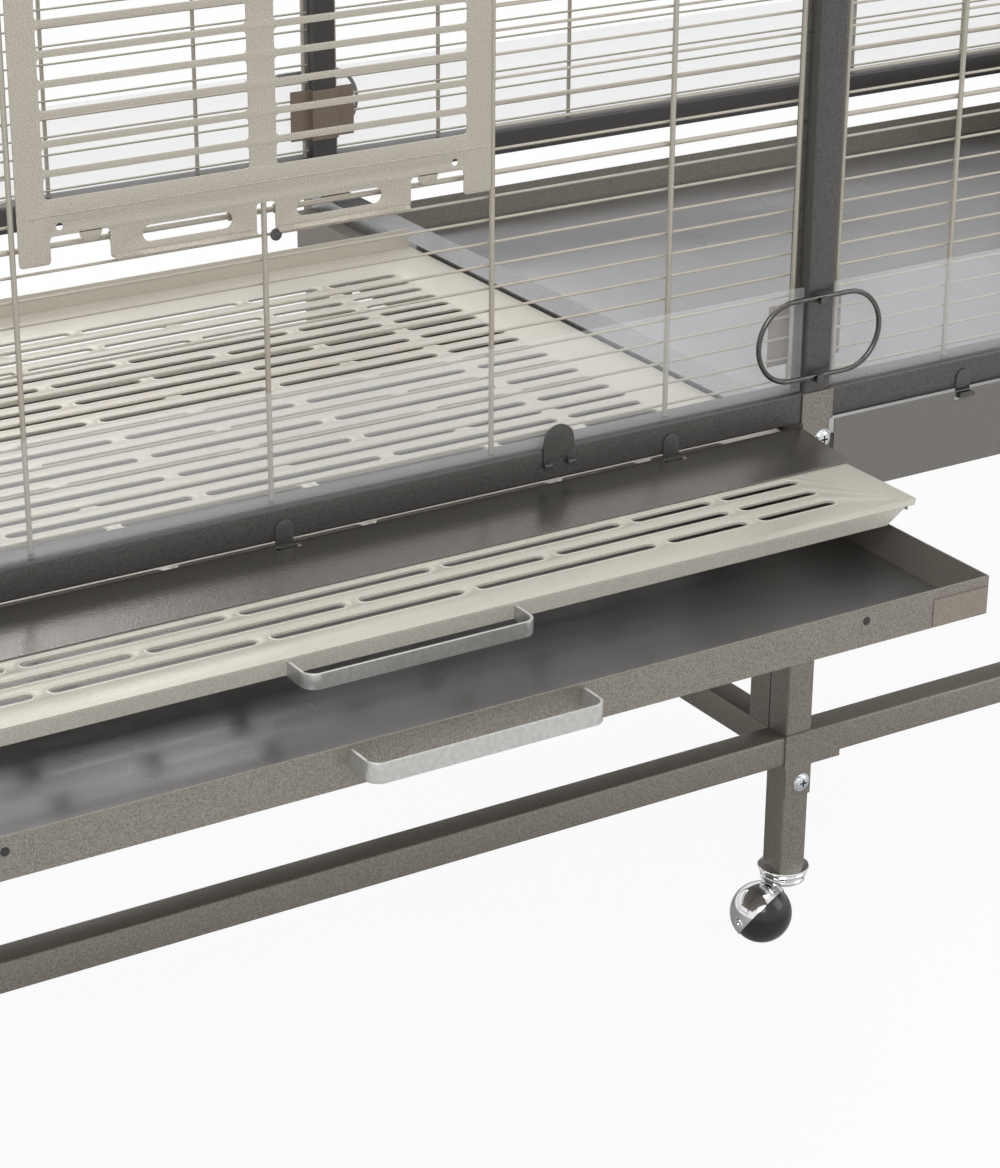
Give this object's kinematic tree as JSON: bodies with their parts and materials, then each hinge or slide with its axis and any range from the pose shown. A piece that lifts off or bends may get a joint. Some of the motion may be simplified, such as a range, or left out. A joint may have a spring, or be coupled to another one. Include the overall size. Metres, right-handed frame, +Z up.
{
  "type": "bird aviary",
  "caption": "Tall double bird aviary of square tube and wire mesh on a wheeled stand, with pull-out trays, a sliding grate, lifting flaps and fold-down doors.",
  "frame": {"origin": "on the floor, under the centre of the bounding box as the aviary stands with the left tray and grate pulled out", "axes": "+X to the right along the front, +Y to the back, +Z up"},
  "size_m": [1.892, 1.0786, 1.658],
  "materials": {
    "frame_coat": "hammered dark bronze coat",
    "mesh_coat": "beige powder coat",
    "door_coat": "beige powder coat",
    "clamp_coat": "beige powder coat",
    "clear_guard": "clear acrylic sheet",
    "flap_coat": "hammered dark bronze coat",
    "grate_coat": "smooth coat",
    "tray_coat": "hammered dark bronze coat",
    "tray_plate": "plain plate",
    "handle_metal": "satin strip",
    "runner_metal": "plain sheet",
    "zinc": "zinc plated",
    "spring_wire": "bright wire",
    "cap_plastic": "moulded cap",
    "caster_chrome": "bright chrome",
    "caster_black": "gloss black"
  },
  "bodies": {
    "cage_frame": {"legs": "frame_coat", "cage_posts": "frame_coat", "post_caps": "cap_plastic", "stand_rails": "frame_coat", "stand_cross_rails": "frame_coat", "floor_rails": "frame_coat", "floor_side_rails": "frame_coat", "roof_rails": "frame_coat", "roof_cross_rails": "frame_coat", "runner_feet": "frame_coat", "rail_brackets": "frame_coat", "bracket_screws": "zinc", "centre_runner": "runner_metal", "centre_beam": "runner_metal", "side_beams": "runner_metal", "side_hangers": "runner_metal", "tray_ledges": "runner_metal", "front_rows": "mesh_coat", "hinge_rods": "mesh_coat", "rear_rows": "mesh_coat", "side_rows": "mesh_coat", "roof_rows": "mesh_coat", "mesh_uprights": "mesh_coat", "roof_cross_wires": "mesh_coat", "seed_guards": "clear_guard", "guard_clips": "clamp_coat", "feeder_rings": "spring_wire", "ring_lugs": "frame_coat", "clamp_plates": "clamp_coat", "flap_hooks": "frame_coat", "caster_sockets": "caster_chrome"},
    "door_left": {"door_left": "door_coat", "door_knuckles_left": "door_coat", "door_catch_left": "door_coat"},
    "door_right": {"door_right": "door_coat", "door_knuckles_right": "door_coat", "door_catch_right": "door_coat"},
    "grate_left": {"grate_left": "grate_coat", "grate_edges_left": "grate_coat", "grate_handle": "handle_metal"},
    "tray_left": {"tray_left": "tray_coat", "tray_plate": "tray_plate", "tray_handle_left": "handle_metal"},
    "tray_right": {"tray_right": "tray_coat", "tray_handle_right": "handle_metal"},
    "flap_left": {"flap_left": "flap_coat"},
    "flap_right": {"flap_right": "flap_coat"},
    "caster_swivel_1": {"caster_hood_1": "caster_chrome"},
    "caster_ball_1": {"caster_ball_1": "caster_black"},
    "caster_swivel_2": {"caster_hood_2": "caster_chrome"},
    "caster_ball_2": {"caster_ball_2": "caster_black"},
    "caster_swivel_3": {"caster_hood_3": "caster_chrome"},
    "caster_ball_3": {"caster_ball_3": "caster_black"},
    "caster_swivel_4": {"caster_hood_4": "caster_chrome"},
    "caster_ball_4": {"caster_ball_4": "caster_black"},
    "caster_swivel_5": {"caster_hood_5": "caster_chrome"},
    "caster_ball_5": {"caster_ball_5": "caster_black"},
    "caster_swivel_6": {"caster_hood_6": "caster_chrome"},
    "caster_ball_6": {"caster_ball_6": "caster_black"}
  },
  "joints": [
    {"name": "door_left_hinge", "type": "hinge", "parent": "cage_frame", "child": "door_left", "pos_m": [-0.4615, -0.24625, 0.6831], "axis": [1, 0, 0], "range_deg": [0, 90]},
    {"name": "door_right_hinge", "type": "hinge", "parent": "cage_frame", "child": "door_right", "pos_m": [0.4615, -0.24625, 0.6831], "axis": [1, 0, 0], "range_deg": [0, 90]},
    {"name": "grate_left_slide", "type": "slide", "parent": "cage_frame", "child": "grate_left", "axis": [0, -1, 0], "range_m": [-0.186, 0.545]},
    {"name": "tray_left_slide", "type": "slide", "parent": "cage_frame", "child": "tray_left", "axis": [0, -1, 0], "range_m": [-0.283, 0.4]},
    {"name": "tray_right_slide", "type": "slide", "parent": "cage_frame", "child": "tray_right", "axis": [0, -1, 0], "range_m": [0, 0.0855]},
    {"name": "flap_left_hinge", "type": "hinge", "parent": "cage_frame", "child": "flap_left", "pos_m": [-0.46, -0.26785, 0.451], "axis": [-1, 0, 0], "range_deg": [0, 20]},
    {"name": "flap_right_hinge", "type": "hinge", "parent": "cage_frame", "child": "flap_right", "pos_m": [0.46, -0.26785, 0.451], "axis": [-1, 0, 0], "range_deg": [0, 103]},
    {"name": "caster_swivel_1_turn", "type": "hinge", "parent": "cage_frame", "child": "caster_swivel_1", "pos_m": [-0.92, -0.25175, 0.065], "axis": [0, 0, 1], "continuous": true},
    {"name": "caster_ball_1_roll", "type": "hinge", "parent": "caster_swivel_1", "child": "caster_ball_1", "pos_m": [-0.9, -0.25175, 0.025], "axis": [0, 1, 0], "continuous": true},
    {"name": "caster_swivel_2_turn", "type": "hinge", "parent": "cage_frame", "child": "caster_swivel_2", "pos_m": [-0.92, 0.51325, 0.065], "axis": [0, 0, 1], "continuous": true},
    {"name": "caster_ball_2_roll", "type": "hinge", "parent": "caster_swivel_2", "child": "caster_ball_2", "pos_m": [-0.9, 0.51325, 0.025], "axis": [0, 1, 0], "continuous": true},
    {"name": "caster_swivel_3_turn", "type": "hinge", "parent": "cage_frame", "child": "caster_swivel_3", "pos_m": [0, -0.25175, 0.065], "axis": [0, 0, 1], "continuous": true},
    {"name": "caster_ball_3_roll", "type": "hinge", "parent": "caster_swivel_3", "child": "caster_ball_3", "pos_m": [-0.02, -0.25175, 0.025], "axis": [0, 1, 0], "continuous": true},
    {"name": "caster_swivel_4_turn", "type": "hinge", "parent": "cage_frame", "child": "caster_swivel_4", "pos_m": [0, 0.51325, 0.065], "axis": [0, 0, 1], "continuous": true},
    {"name": "caster_ball_4_roll", "type": "hinge", "parent": "caster_swivel_4", "child": "caster_ball_4", "pos_m": [-0.02, 0.51325, 0.025], "axis": [0, 1, 0], "continuous": true},
    {"name": "caster_swivel_5_turn", "type": "hinge", "parent": "cage_frame", "child": "caster_swivel_5", "pos_m": [0.92, -0.25175, 0.065], "axis": [0, 0, 1], "continuous": true},
    {"name": "caster_ball_5_roll", "type": "hinge", "parent": "caster_swivel_5", "child": "caster_ball_5", "pos_m": [0.9, -0.25175, 0.025], "axis": [0, 1, 0], "continuous": true},
    {"name": "caster_swivel_6_turn", "type": "hinge", "parent": "cage_frame", "child": "caster_swivel_6", "pos_m": [0.92, 0.51325, 0.065], "axis": [0, 0, 1], "continuous": true},
    {"name": "caster_ball_6_roll", "type": "hinge", "parent": "caster_swivel_6", "child": "caster_ball_6", "pos_m": [0.9, 0.51325, 0.025], "axis": [0, 1, 0], "continuous": true}
  ],
  "couplings": [
    {"joint": "flap_right_hinge", "follows": "tray_right_slide", "rad_per_m": 20.944}
  ]
}
